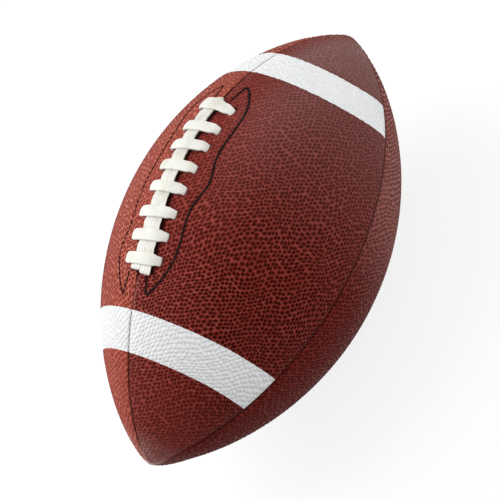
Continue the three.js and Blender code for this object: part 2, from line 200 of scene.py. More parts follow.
def noise(tree, where, scale, detail, rough=0.5):
    node = addNode(tree, "ShaderNodeTexNoise", {"Vector": where, "Scale": scale,
                                                "Detail": detail, "Roughness": rough})
    return node.outputs["Fac"]


def newMaterial(name):
    material = bpy.data.materials.new(name)
    material.use_nodes = True
    tree = material.node_tree
    shader = tree.nodes["Principled BSDF"]
    where = addNode(tree, "ShaderNodeTexCoord").outputs["Object"]
    return material, tree, shader, where


def dress(tree, shader, colour, rough, height, depth, strength=1.0):
    # colour, roughness, and a fine relief with its depth in millimetres
    bump = addNode(tree, "ShaderNodeBump", {"Height": height, "Distance": depth * mm, "Strength": strength})
    for key, value in (("Base Color", colour), ("Roughness", rough), ("Normal", bump.outputs["Normal"])):
        tree.links.new(value, shader.inputs[key])


# grain of the cover, the same for the relief and for the colour
grain = {
    "pitch": 2.58,           # pebble to pebble
    "shape": (1.12, 0.98),   # length along the row and width across it
    "looseness": 0.36,       # how far pebbles stray from their rows
    "slant": -58.0,          # degrees between the rows and the ball's length
    "swirlSpan": 34.0,       # rows bend over this length
    "swirl": 9.0,
    "sizes": (1.07, 0.94),   # small and large pebbles
    "tip": (0.12, 0.45),     # dark pebble tip, in pitches
    "ridge": (0.40, 0.62),   # pale net between the pebbles, in pitches
    "dome": (0.08, 0.56),    # pebble from top to foot, in pitches
    "height": 0.30,
    "shading": 0.30,         # extra roundness in the finish
    "fibre": 0.03,           # fine roughness over it all
    "hideApart": 400,        # each panel is cut from another place on the hide
}


def turned(tree, vector, rows):
    # a flat vector through a two by two table
    parts = [vectorCalc(tree, "DOT_PRODUCT", {0: vector, 1: (float(row[0]), float(row[1]), 0.0)}, "Value")
             for row in rows]
    return addNode(tree, "ShaderNodeCombineXYZ", {0: parts[0], 1: parts[1]}).outputs[0]


def pebbleDistance(tree, flat):
    # distance from the nearest pebble's middle, in pitches
    swirl = addNode(tree, "ShaderNodeTexNoise", {"Vector": flat, "Scale": 1 / grain["swirlSpan"],
                                                 "Detail": 1.0}, noise_dimensions="2D")
    middle = vectorCalc(tree, "SUBTRACT", {0: swirl.outputs["Color"], 1: (0.5, 0.5, 0.5)})
    reach = (grain["swirl"], grain["swirl"], 0.0)
    moved = vectorCalc(tree, "MULTIPLY_ADD", {0: middle, 1: reach, 2: flat})
    # the rows lie staggered, as in a honeycomb
    angle = math.radians(grain["slant"])
    turn = np.array([[math.cos(angle), math.sin(angle)], [-math.sin(angle), math.cos(angle)]])
    rows = np.array([[1, -1 / math.sqrt(3)], [0, 2 / math.sqrt(3)]]) @ turn / grain["pitch"]
    cells = addNode(tree, "ShaderNodeTexVoronoi", {"Vector": turned(tree, moved, rows), "Scale": 1.0,
                                                   "Randomness": grain["looseness"]},
                    voronoi_dimensions="2D", feature="F1")
    pebble = turned(tree, cells.outputs["Position"], np.linalg.inv(rows) / grain["pitch"])
    here = vectorCalc(tree, "SCALE", {0: moved, "Scale": 1 / grain["pitch"]})
    off = vectorCalc(tree, "SUBTRACT", {0: here, 1: pebble})
    off = turned(tree, off, turn / np.array(grain["shape"])[:, None])
    away = vectorCalc(tree, "LENGTH", {0: off}, "Value")
    lot = addNode(tree, "ShaderNodeSeparateXYZ", {0: cells.outputs["Color"]}).outputs[0]
    return times(tree, away, remap(tree, lot, 0.0, 1.0, *grain["sizes"]))


def reliefGroup():
    group = bpy.data.node_groups.new("pebbleRelief", "GeometryNodeTree")
    for way in ("INPUT", "OUTPUT"):
        group.interface.new_socket("Geometry", in_out=way, socket_type="NodeSocketGeometry")
    start = addNode(group, "NodeGroupInput")
    end = addNode(group, "NodeGroupOutput")
    flat = addNode(group, "GeometryNodeInputNamedAttribute", {"Name": "flat"}, data_type="FLOAT_VECTOR")
    relief = addNode(group, "GeometryNodeInputNamedAttribute", {"Name": "relief"}, data_type="FLOAT")
    away = pebbleDistance(group, flat.outputs["Attribute"])
    dome = remap(group, away, *grain["dome"], grain["height"] * mm, 0.0)
    lift = times(group, dome, relief.outputs["Attribute"])
    normal = addNode(group, "GeometryNodeInputNormal")
    offset = vectorCalc(group, "SCALE", {0: normal.outputs[0], "Scale": lift})
    place = addNode(group, "GeometryNodeSetPosition", {"Geometry": start.outputs[0], "Offset": offset})
    group.links.new(place.outputs[0], end.inputs[0])
    return group


leather = {
    "net": (0.134, 0.0132, 0.0094),     # between the pebbles
    "ridge": (0.284, 0.0505, 0.0410),   # along the middle of the net, partly painted highlight
    "laceLightTint": (1.45, 1.78, 1.90),      # painted light round the lacing, paler there, as a share
    "tips": (0.012, 0.0003, 0.0002),    # dark pebble tips, partly painted shade
    "warm": (0.137, 0.0130, 0.0086),    # redder patches
    # painted sheen on the right side, standing in for light from the right: colour, where it starts and is
    # full along the ball, share
    "paintedSheen": {"dark": ((0.330, 0.2350, 0.2150), -40, 135, 0.26),
              "base": ((0.560, 0.2500, 0.2200), -25, 45, 0.34)},
    "paintedSheenAside": (-45, -6),            # full and gone, across the ball
    "frontPaintedSheen": (88, 100, 0.30),      # more of it in front of the stripe
    "frontAside": (-20, -2),
    "seam": (0.020, 0.0030, 0.0026),    # dark in the seams, with painted shade in hollows and by the lacing
    "worn": (0.620, 0.3600, 0.3100),    # rubbed edges along the seams and at the tips, paler at the very tips as painted bounce light from the floor
    # strength of the two tones: rear, middle, front
    "bold": {"dark": (0.65, 1.0, 0.40), "light": (0.55, 0.60, 0.55), "base": (0.80, 0.66, 0.80)},
    "boldRear": (-118, -78),            # the rear strength ends between these places along the ball
    "boldFront": (-70, 125),            # from the middle strength to the front one
    # share of that strength by the lacing, at its rear and front
    "boldLaced": {"dark": (0.90, 0.70), "light": (1.0, 1.0), "base": (1.0, 1.0)},
    "boldLacing": (-50, 45),
    # the left panel is painted lighter, standing in for the side lamp's light on it
    "hides": {"dark": (1.0, 1.0, 1.0), "light": (1.90, 2.90, 2.48), "base": (0.91, 0.84, 0.84)},
    # clouds in the finish: how many to a metre, detail, roughness
    "clouds": {"mottle": (55.0, 3.0, 0.5), "patch": (16.0, 2.0, 0.5), "fine": (2600.0, 3.0, 0.6),
               "ragged": (900.0, 2.0, 0.5), "grime": (130.0, 4.0, 0.6)},
    "warmFrom": (0.35, 0.7),            # how much of the patches is redder
    # the mottle from low to high, and what it leaves of the tips, the ridges and the rubbed places
    "mottleTips": (0.25, 0.7, 0.82, 1.0),
    "mottleRidge": (0.25, 0.75, 0.65, 1.0),
    "mottleRubAndBounce": (*cloudSpan, 0.4, 1.0),
    "tipRelief": (0.1, 0.9),            # tips are dark only where the grain stands
    "paint": (0.865, 0.880, 0.888),
    # painted shade on the pebble tips under the white stripe
    "paintTipShade": (0.815, 0.830, 0.838),
    # the seam colour and its painted shade, where the stripe is
    "paintSeam": (0.500, 0.485, 0.475),
    "grime": (0.450, 0.420, 0.400),
    "grimeFrom": (0.45, 0.8),
    "grimeShare": 0.12,
    "roughness": (0.42, 0.90),
    "paintRoughness": 0.5,
    "seamRoughness": 0.95,
    "shine": 0.04,
    "shineTint": (1.0, 0.52, 0.44, 1.0),
    "haze": {"dark": 0.07, "light": 0.07, "base": 0.02},   # faint sheen, seen edge-on
    "hazeRoughness": 0.45,
    "hazeTint": (1.0, 0.78, 0.72, 1.0),
    "stripe": (75.9, 96.4),             # inner and outer edge, along the ball
    "stripeEdge": 0.12,                 # softness of the edges
    "stripeRagged": 0.1,
    # the stripes were laid on by hand: for each side, in front and at the rear,
    # degrees from the lacing and how far outward
    "stripeSway": {
        -1: {1: ((0, 2.9), (6, 1.9), (12, 1.0), (20, 0.4), (30, -0.5), (40, -1.2), (50, -1.4),
                 (60, -1.4), (70, -0.6), (80, 0.3), (90, 0.8)),
             -1: ((0, -0.5), (55, -0.5), (90, 0.5))},
        1: {1: ((0, 2.7), (35, 3.0), (90, 1.5)),
            -1: ((0, -0.5), (40, -0.2), (90, 0.4))},
    },
    "stripeEase": 5.0,                  # degrees over which the sway is softened
}


def alongBall(tree, place, span, fromShare=0.0, toShare=1.0):
    # a share that changes between two places, given in millimetres
    return remap(tree, place, span[0] * mm, span[1] * mm, fromShare, toShare)


def leatherFinish(name, striped, hide):
    material, tree, shader, where = newMaterial(name)
    net, warm, tips, ridge = (tuple(np.multiply(leather[key], leather["hides"][hide]).tolist())
                              for key in ("net", "warm", "tips", "ridge"))
    flat = addNode(tree, "ShaderNodeAttribute", attribute_name="flat").outputs["Vector"]
    seam, rubAndBounce, relief, laceLight = (addNode(tree, "ShaderNodeAttribute", attribute_name=key).outputs["Fac"]
                                for key in ("seam", "rubAndBounce", "relief", "laceLight"))
    mottle, patch, fine = (noise(tree, where, *leather["clouds"][key])
                           for key in ("mottle", "patch", "fine"))
    away = pebbleDistance(tree, flat)
    # strength of the two tones along the ball and by the lacing
    parts = addNode(tree, "ShaderNodeSeparateXYZ", {0: where}).outputs
    along, aside = parts[0], parts[1]
    rear, mid, front = leather["bold"][hide]
    laced = alongBall(tree, along, leather["boldLacing"], *leather["boldLaced"][hide])
    bold = times(tree, alongBall(tree, along, leather["boldRear"], rear, 1.0),
                 alongBall(tree, along, leather["boldFront"], mid, front),
                 remap(tree, laceLight, 0.0, 1.0, 1.0, laced))
    # dark pebble tips on a net with a pale ridge: the leather's two tones, with painted shade on the tips
    # and painted highlight on the ridge
    tip = times(tree, remap(tree, away, *grain["tip"], 1.0, 0.0),
                remap(tree, relief, *leather["tipRelief"]),
                remap(tree, mottle, *leather["mottleTips"]), bold)
    ground = mixColour(tree, remap(tree, patch, *leather["warmFrom"]), net, warm)
    rise = times(tree, remap(tree, away, *grain["ridge"]),
                 remap(tree, mottle, *leather["mottleRidge"]), bold)
    ground = mixColour(tree, rise, ground, ridge)
    # painted sheen on the right side and in front, standing in for light from the right
    if hide in leather["paintedSheen"]:
        pale, starts, full, share = leather["paintedSheen"][hide]
        paintedSheen = times(tree, alongBall(tree, along, (starts, full)),
                      alongBall(tree, aside, leather["paintedSheenAside"], share, 0.0))
        starts, full, share = leather["frontPaintedSheen"]
        cap = times(tree, alongBall(tree, along, (starts, full)),
                    alongBall(tree, aside, leather["frontAside"], share, 0.0))
        ground = mixColour(tree, calc(tree, "MAXIMUM", paintedSheen, cap), ground, pale)
    colour = mixColour(tree, tip, ground, tips)
    # rubbed places, and painted bounce light at the tips
    rubAndBounce = times(tree, rubAndBounce, remap(tree, mottle, *leather["mottleRubAndBounce"]))
    colour = mixColour(tree, rubAndBounce, colour, leather["worn"])
    # painted light, paler round the lacing
    colour = mixColour(tree, laceLight, colour, leather["laceLightTint"], "MULTIPLY")
    rough = remap(tree, tip, 0.0, 1.0, *leather["roughness"])
    crease = leather["seam"]
    if striped:
        place = addNode(tree, "ShaderNodeAttribute", attribute_name="stripePlace").outputs["Fac"]
        ragged = noise(tree, where, *leather["clouds"]["ragged"])
        place = calc(tree, "ADD", place, remap(tree, ragged, *cloudSpan, -leather["stripeRagged"],
                                               leather["stripeRagged"]))
        (low, high), soft = leather["stripe"], leather["stripeEdge"]
        band = times(tree, remap(tree, place, low - soft, low + soft),
                     remap(tree, place, high - soft, high + soft, 1.0, 0.0))
        # painted shade on the pebble tips of the stripe
        paint = mixColour(tree, tip, leather["paint"], leather["paintTipShade"])
        grime = noise(tree, where, *leather["clouds"]["grime"])
        grime = remap(tree, grime, *leather["grimeFrom"], 0.0, leather["grimeShare"])
        paint = mixColour(tree, grime, paint, leather["grime"])
        colour = mixColour(tree, band, colour, paint)
        crease = mixColour(tree, band, crease, leather["paintSeam"])
        rough = mixValue(tree, band, rough, leather["paintRoughness"])
    # dark seam lines, and painted shade in hollows and by the lacing
    colour = mixColour(tree, seam, colour, crease)
    rough = mixValue(tree, seam, rough, leather["seamRoughness"])
    shader.inputs["Specular IOR Level"].default_value = leather["shine"]
    shader.inputs["Specular Tint"].default_value = leather["shineTint"]
    shader.inputs["Sheen Weight"].default_value = leather["haze"][hide]
    shader.inputs["Sheen Roughness"].default_value = leather["hazeRoughness"]
    shader.inputs["Sheen Tint"].default_value = leather["hazeTint"]
    dome = times(tree, remap(tree, away, *grain["dome"], grain["shading"], 0.0), relief)
    dress(tree, shader, colour, rough, calc(tree, "MULTIPLY_ADD", fine, grain["fibre"], dome), 1.0)
    return material


laceLook = {
    "white": (0.800, 0.795, 0.742),
    "shade": (0.680, 0.670, 0.585),
    "roughness": (0.42, 0.58),
    "cloud": (120.0, 3.0),     # how many to a metre, detail
    "shadeFrom": (0.38, 0.72),
    "fine": (2200.0, 2.0),
    "bump": (0.04, 0.5),       # depth in millimetres, strength
}


def laceFinish():
    material, tree, shader, where = newMaterial("laceSkin")
    cloud, fine = (noise(tree, where, *laceLook[key]) for key in ("cloud", "fine"))
    shade = remap(tree, cloud, *laceLook["shadeFrom"])
    colour = mixColour(tree, shade, laceLook["white"], laceLook["shade"])
    rough = remap(tree, fine, *cloudSpan, *laceLook["roughness"])
    dress(tree, shader, colour, rough, fine, *laceLook["bump"])
    return material


threadLook = {
    "twist": {"Scale": 420.0, "Distortion": 3.0, "Detail": 2.0},
    "shine": 0.15,
    "roughness": 0.15,         # rougher by this much on the high side of the twist
    "bump": (0.06, 0.8),
}


def threadFinish(name, dark, light, roughness):
    material, tree, shader, where = newMaterial(name)
    twist = addNode(tree, "ShaderNodeTexWave", {"Vector": where, **threadLook["twist"]},
                    bands_direction="DIAGONAL").outputs["Fac"]
    colour = mixColour(tree, twist, dark, light)
    rough = remap(tree, twist, 0, 1, roughness, roughness + threadLook["roughness"])
    shader.inputs["Specular IOR Level"].default_value = threadLook["shine"]
    dress(tree, shader, colour, rough, twist, *threadLook["bump"])
    return material


clothLook = {
    "dark": (0.36, 0.33, 0.27),
    "light": (0.62, 0.58, 0.49),
    "weave": {"Scale": 330.0, "Distortion": 0.6},
    "roughness": (0.98, 0.85),
    "bump": (0.2, 0.7),
}


def clothFinish():
    material, tree, shader, where = newMaterial("liningCloth")
    waves = [addNode(tree, "ShaderNodeTexWave", {"Vector": where, **clothLook["weave"]},
                     bands_direction=way).outputs["Fac"] for way in ("X", "Z")]
    weave = calc(tree, "MAXIMUM", *waves)
    colour = mixColour(tree, weave, clothLook["dark"], clothLook["light"])
    rough = remap(tree, weave, 0, 1, *clothLook["roughness"])
    dress(tree, shader, colour, rough, weave, *clothLook["bump"])
    return material


mottledLook = {
    "detail": (4.0, 0.6),      # of the clouds: detail, roughness
    "fine": (12, 3.0, 0.6),    # fine grain: times as many, detail, roughness
    "roughness": 0.08,         # either side of the finish's own
    "strength": 0.6,
}


def mottledFinish(name, dark, light, scale, roughness, depth):
    material, tree, shader, where = newMaterial(name)
    cloud = noise(tree, where, scale, *mottledLook["detail"])
    times, detail, rough = mottledLook["fine"]
    fine = noise(tree, where, scale * times, detail, rough)
    colour = mixColour(tree, remap(tree, cloud, *cloudSpan), dark, light)
    rough = remap(tree, fine, *cloudSpan, roughness - mottledLook["roughness"],
                  roughness + mottledLook["roughness"])
    dress(tree, shader, colour, rough, fine, depth, mottledLook["strength"])
    return material


plainLeather = leatherFinish("panelLeather", False, "base")
stripedLeather = leatherFinish("stripedLeather", True, "dark")
# the left lace panel, painted lighter as if lit from the side
sideLitLeather = leatherFinish("sideLitLeather", True, "light")
laceSkin = laceFinish()
liningCloth = clothFinish()
# dark and light tone, roughness
blackThread = threadFinish("blackThread", (0.002, 0.002, 0.002), (0.010, 0.009, 0.009), 0.75)
waxedThread = threadFinish("waxedThread", (0.30, 0.23, 0.14), (0.50, 0.40, 0.27), 0.6)
# dark and light tone, clouds to a metre, roughness, depth of the grain
facingHide = mottledFinish("facingHide", (0.20, 0.17, 0.14), (0.30, 0.26, 0.21), 220.0, 0.85, 0.08)
bladderRubber = mottledFinish("bladderRubber", (0.030, 0.026, 0.023), (0.055, 0.047, 0.041),
                              90.0, 0.6, 0.05)
valveRubber = mottledFinish("valveRubber", (0.010, 0.010, 0.011), (0.022, 0.022, 0.023),
                            400.0, 0.55, 0.03)
print("finishes made")

# places of the lacing, used by the panels, the lace and the stitches
lacing = {
    # middle of each cross along the ball, from the rear, pulled a little unevenly
    "crossAt": (-49.3, -36.7, -23.65, -8.95, 4.3, 17.75, 30.6, 46.4),
    "lean": (-0.065, -0.09, -0.08, -0.035, -0.05, -0.09, -0.025, 0.02),
    "rows": {1: 11.0, -1: 13.7},     # holes to the seam, left and right
    # the two lengthwise strands: along the ball, their middle, half their width together
    "spine": ((-60, -2.4, 8.4), (-54, -2.8, 7.6), (-44, -3.5, 6.1), (-31, -2.6, 6.0), (-17, -1.2, 5.4),
              (-3, -0.4, 5.0), (11, 0.2, 4.5), (24, 1.2, 4.3), (38, 1.5, 4.3), (54, 1.5, 4.3)),
    "spineEase": 6.0,                # length over which that is softened
    # half-moon stitches: along the ball, distance from the seam
    "moonTip": {1: {1: 65.0, -1: 69.4},      # left: in front and at the rear
                -1: {1: 65.0, -1: 67.2}},    # right
    "moonTipSide": 9.2,
    "moonControl": (58.8, 18.0),
    "moonShoulder": (45.7, 22.0),
    "moonReturn": {1: 52.8, -1: -57.0},      # where the thread ends, in front and at the rear
    "moonReturnSide": 7.0,
    "moonSway": {-1: ((34, 23.1), (22, 22.3), (13, 22.8), (5.6, 25.4), (-1.6, 27.0), (-8, 24.2),
                      (-17, 22.1), (-25, 21.9), (-33, 23.1), (-40, 22.9)),
                 1: ((33, 20.6), (22, 19.4), (8, 19.6), (-8, 20.4), (-20, 19.5), (-31, 17.8),
                     (-37, 18.8), (-41, 20.6))},
    "moonEase": 4.0,
    "moonStep": 3.0,                 # between the points of the trough
    "moonReach": 32,                 # nothing of the half-moons lies further from the seam
}
crossX = np.array(lacing["crossAt"])


def eased(x, places, span, steps=400):
    # values between places along the ball, softened over a span
    table = np.array(sorted(places), float)
    fine = np.linspace(table[0, 0], table[-1, 0], steps)
    blur = np.exp(-((fine[:, None] - fine[None, :]) / span) ** 2)
    blur = blur / blur.sum(1)[:, None]
    return [np.interp(x, fine, blur @ np.interp(fine, table[:, 0], column)) for column in table.T[1:]]


def spineAt(x):
    # middle and half width of the pair of strands
    return eased(x, lacing["spine"], lacing["spineEase"])


def holeX(k, side):
    # a leaning cross meets its two holes at different places along the ball
    return crossX[k] + lacing["lean"][k] * side * lacing["rows"][side]


def fromHole(x, seamSide, k, side, sizes):
    # distance from a lace hole, in its own sizes along and across the ball
    return np.hypot((x - holeX(k, side)) / sizes[0], (seamSide - lacing["rows"][side]) / sizes[1])


def moonLine(side, bendSteps=24, runSteps=50):
    # a half-moon stitch from its front end to its rear end: along the ball, distance from the seam
    control, shoulder = (np.array(lacing[k]) for k in ("moonControl", "moonShoulder"))
    t = np.linspace(0, 1, bendSteps)[:, None]
    bends, ends = [], []
    for way in (1, -1):
        tip = np.array([lacing["moonTip"][side][way], lacing["moonTipSide"]])
        bends.append(((1 - t) ** 2 * tip + 2 * t * (1 - t) * control + t ** 2 * shoulder) * (way, 1))
        ends.append(np.array([[lacing["moonReturn"][way], lacing["moonReturnSide"]]]))
    x = np.linspace(shoulder[0], -shoulder[0], runSteps)[1:-1]
    places = lacing["moonSway"][side] + (tuple(shoulder), (-shoulder[0], shoulder[1]))
    sway = eased(x, places, lacing["moonEase"])[0]
    return np.concatenate([ends[0], bends[0], np.stack([x, sway], -1), bends[1][::-1], ends[1]])


def evenly(line, step):
    # the same line with its points at an even spacing
    gaps = np.linalg.norm(np.diff(line, axis=0), axis=1)
    run = np.concatenate([[0], np.cumsum(gaps)])
    at = np.linspace(0, run[-1], max(2, int(round(run[-1] / step)) + 1))
    return np.stack([np.interp(at, run, line[:, k]) for k in range(line.shape[1])], -1)


def distanceToLine(x, y, line):
    best = np.full(x.shape, np.inf)
    for (ax, ay), (bx, by) in zip(line[:-1], line[1:]):
        dx, dy = bx - ax, by - ay
        t = np.clip(((x - ax) * dx + (y - ay) * dy) / max(dx * dx + dy * dy, 1e-9), 0, 1)
        best = np.minimum(best, np.hypot(x - ax - t * dx, y - ay - t * dy))
    return best


cover = {
    "rows": 480,
    "columns": 172,
    "edgeSteps": (0.0, 0.1, 0.25, 0.5, 0.85, 1.3, 1.9, 2.6),   # from the seam
    "underColumns": 5,
    "thickness": 2.0,
    "thinTip": 0.55,        # at the tips the leather is this share of the radius
    "tipShort": 0.02,       # the points of a panel stop this far from the very tip
    "seamGap": 0.05,
    "edgeRoll": 0.65,       # rounding of the turned-in edge
    "seamSink": 0.38,
    "seamReach": 3.2,
    "pucker": 0.09,
    "puckerReach": 1.3,
    "stitchPitch": 3.1,
    "fullWidth": 9.0,       # narrower than this the edge shrinks with the panel
    "stitchSink": 0.32,     # the half-moon threads lie in a trough
    "stitchReach": 0.75,
    "holeSink": 0.55,
    "holeReach": (3.4, 2.2),
    "slot": (2.65, 1.15),   # half sizes of a lace hole
    "slotSides": 24,
    "slotPower": 0.6,       # below 1 the hole is squarer
    "slotHeights": (-6.0, -3.0, 0.0, 3.0),
    "nub": {1: (1.3, 0.0, 0.0), -1: (-0.9, -1.4, -0.3)},   # how far each end is drawn out
    "nubFrom": 128.0,
    "valveHole": 3.3,
    "valveSides": 40,
    "valveHeights": (70.0, 76.0, 82.0),
    "valveAngle": 135.0,    # degrees from the lacing round to the valve
    "sharpFrom": 55.0,      # degrees
}


def sinkAt(u, x, edge, squeeze, seamSide, laced, side):
    # how far the leather lies below the outline
    roll = cover["edgeRoll"] * squeeze
    inside = np.clip(roll - edge, 0, None)
    sink = roll - np.sqrt(np.clip(roll ** 2 - inside ** 2, 0, None))
    pull = np.exp(-(edge / (cover["seamReach"] * squeeze)) ** 2)
    sink = sink + cover["seamSink"] * squeeze * pull
    stitch = 0.5 + 0.5 * np.cos(2 * np.pi * u / cover["stitchPitch"])
    sink = sink + cover["pucker"] * squeeze * stitch * np.exp(-(edge / cover["puckerReach"]) ** 2)
    if laced:
        near = seamSide < lacing["moonReach"]
        line = distanceToLine(x[near], seamSide[near], evenly(moonLine(side), lacing["moonStep"]))
        dip = cover["stitchSink"] * np.exp(-(line / cover["stitchReach"]) ** 2)
        for k in range(len(crossX)):
            off = fromHole(x[near], seamSide[near], k, side, cover["holeReach"])
            dip = dip + cover["holeSink"] * np.exp(-(off ** 2))
        sink[near] = sink[near] + dip
    return sink


def tipPinch(x):
    # the four points are drawn together at each end, the rear one a little aside
    front, rear = (np.array(cover["nub"][way]) for way in (1, -1))
    share = smooth(cover["nubFrom"], ball["halfLength"], np.abs(x))[:, None]
    return share * np.where(x[:, None] > 0, front, rear)


def panelMesh(name, middle, laced, material):
    rows, edges = cover["rows"], np.array(cover["edgeSteps"])
    u = np.linspace(tableU[0], tableU[-1], rows + 1)[1:-1]
    x = np.interp(u, tableU, tableX)
    radius = outline(x)[0]
    half = radius * np.pi / 4
    squeeze = np.minimum(1, half / cover["fullWidth"])
    # across the panel: fine steps by each seam, even columns between
    edge = edges[None, :] * squeeze[:, None]
    share = np.linspace(0, 1, cover["columns"] + 1)[None, 1:-1]
    inner = edge[:, -1:] + share * (2 * half[:, None] - 2 * edge[:, -1:])
    across = np.concatenate([edge, inner, 2 * half[:, None] - edge[:, ::-1]], 1)
    gap = (cover["seamGap"] * squeeze)[:, None]
    across = np.clip(across, gap, 2 * half[:, None] - gap)
    seamEdge = np.minimum(across, 2 * half[:, None] - across)
    grid = np.ones_like(across)
    # the lace seam is at angle 0, so it is the panel's side nearest to it
    seamSide = np.abs(middle) * radius[:, None] + np.sign(middle) * (across - half[:, None])
    sink = sinkAt(u[:, None] * grid, x[:, None] * grid, seamEdge, squeeze[:, None], seamSide, laced,
                  int(np.sign(middle)))
    outer = onBall(x[:, None], across - half[:, None], -sink, middle)
    # back along the underside, so each row is a closed loop
    under = np.linspace(0, 1, cover["underColumns"] + 1)[None, ::-1]
    underAcross = gap + under * (2 * half[:, None] - 2 * gap)
    depth = np.minimum(cover["thickness"], cover["thinTip"] * radius)[:, None]
    lower = onBall(x[:, None], underAcross - half[:, None], -depth, middle)
    loops = np.concatenate([outer, lower], 1)
    loops = loops + tipPinch(x)[:, None, :]
    count = loops.shape[1]
    points = loops.reshape(-1, 3)
    floorZ = points[:, 2]   # nothing goes below the floor
    points[:, 2] = 0.5 * (floorZ + np.sqrt(floorZ ** 2 + 4 * ball["flatEase"] ** 2))
    tips = np.array([[-1, 0, 0], [1, 0, 0]]) * (ball["halfLength"] - cover["tipShort"])
    tips = tips + (0, 0, ball["middleHeight"])
    points = np.concatenate([points, tips + tipPinch(tips[:, 0])])
    faces = ringFaces(rows - 1, count, ends="open")
    last = (rows - 2) * count
    for k in range(count):
        after = (k + 1) % count
        faces.append(np.array([len(points) - 2, after, k]))
        faces.append(np.array([len(points) - 1, last + k, last + after]))
    return makePiece(name, points, faces, material, body=None)


def cutWith(piece, cutter):
    change = piece.modifiers.new("cut", "BOOLEAN")
    change.operation = "DIFFERENCE"
    change.solver = "MANIFOLD"
    change.object = cutter
    bakeModifiers(piece)
    bpy.data.objects.remove(cutter)


def bakeModifiers(piece):
    bpy.context.view_layer.update()
    graph = bpy.context.evaluated_depsgraph_get()
    done = bpy.data.meshes.new_from_object(piece.evaluated_get(graph))
    piece.modifiers.clear()
    old = piece.data
    piece.data = done
    bpy.data.meshes.remove(old)
    done.name = piece.name


def laceSlots(side):
    # rounded holes where the lace dives through a panel
    points, faces = [], []
    turn = np.linspace(0, 2 * np.pi, cover["slotSides"], endpoint=False)
    bendX, bendY = (np.sign(wave) * np.abs(wave) ** cover["slotPower"] * half
                    for wave, half in zip((np.cos(turn), np.sin(turn)), cover["slot"]))
    for k in range(len(crossX)):
        start = len(points) * len(turn)
        for height in cover["slotHeights"]:
            points.append(onBall(holeX(k, side) + bendX, side * lacing["rows"][side] + bendY, height))
        faces += ringFaces(len(cover["slotHeights"]), len(turn), start)
    return makePiece("slotCutter", np.concatenate(points), faces, plainLeather, body=None)


def valveCutter():
    turn = np.linspace(0, 2 * np.pi, cover["valveSides"], endpoint=False)
    ring = np.stack([np.cos(turn), np.sin(turn)], -1) * cover["valveHole"]
    points = [valvePoint(ring[:, 0], ring[:, 1], height) for height in cover["valveHeights"]]
    faces = ringFaces(len(points), len(turn))
    return makePiece("valveCutter", np.concatenate(points), faces, plainLeather, body=None)


def storePoints(mesh, name, values):
    kind, key = ("FLOAT_VECTOR", "vector") if values.ndim > 1 else ("FLOAT", "value")
    layer = mesh.attributes.new(name, kind, "POINT")
    layer.data.foreach_set(key, values.astype(np.float32).ravel())


# painted shade and light, and wear, on the leather: two numbers are the distances between which it changes,
# and where three are given the first is its strength
wearShadeAndLight = {
    "outside": (1.5, 1.3),          # deeper than this is the underside
    "grainSeam": (0.25, 1.0),       # the grain fades out by the seams
    "grainTip": (1.5, 8.0),         # and at the tips
    "grainFloor": (0.2, 1.2),       # and where the ball lies on the floor
    "wobble": ((0.22, 2.03), (0.16, 0.71)),   # uneven edges: how much, how quickly along the ball
    # dark seam line, partly the joint and partly painted shade in its crease, and a wider painted shade
    # beside it
    "seamLine": (0.85, 0.60, 0.20),
    "seamShade": (0.45, 1.6, 0.45),
    "seamTips": (5.0, 22.0),        # the seam line and its painted shade fade out towards the tips
    "rearSideTips": (10.0, 45.0),
    "deep": (1.0, 1.6),             # painted shade down the turned-in edges
    "deepTips": (4.0, 8.0),
    # the very tip is paler, as rubbed leather and painted bounce light
    "tipRubAndBounce": (0.9, 5.5, 1.2),
    "rubSeamTips": (0.8, 18.0, 6.0),
    "rubSeam": (1.7, 0.5),
    "rubRear": (0.17, 30.0, 8.0),
    "rubFront": (0.07, 34.0, 10.0),
    "hole": (3.8, 2.3),             # size of the place round a lace hole, with flattened grain and painted shade
    "holeGrain": (0.75, 1.15),      # in those sizes
    "holeShade": (0.85, 1.0, 0.55),
    "slit": (1.1, 0.35),            # painted shade in the open seam under the lacing
    "slitWidth": 3,
    "slitEnds": (66, 62),
    "trough": (1.05, 0.45),
    "troughShade": {1: 0.45, -1: 0.8},   # beside the half-moon thread, left and right
    "under": (0.95, 2.4, 0.7),      # shade beside the strands
    "underWidth": 13,
    "underRear": (-57.0, -55.0),
    "underFront": (53.5, 52.0),
    # behind the lacing the seam is flat and its right lip rubbed
    "flatAlong": ((-57.5, -61.0), (-77.0, -75.0)),
    "flatWidth": (4.0, 3.0),
    "flatShade": 0.7,
    "flatRub": (0.12, 2.4, 1.0),
    "laceLight": (70.0, 18.0),          # painted light round the lacing
    "laceLightFront": (0.35, 92.0, 40.0),    # least of it, in front
}
# flat layout of a hide, as shares of the sheet: where it starts and how much it takes
sheet = {
    "along": (0.02, 0.96),
    "outside": (0.02, 0.80),
    "underside": (0.84, 0.13),      # a strip along the top
    "undersideDepth": 1.4,
}


def worn(key, value):
    # strength of one mark in the table of wear and painted shade and light
    *strength, start, full = wearShadeAndLight[key]
    return (strength[0] if strength else 1.0) * smooth(start, full, value)


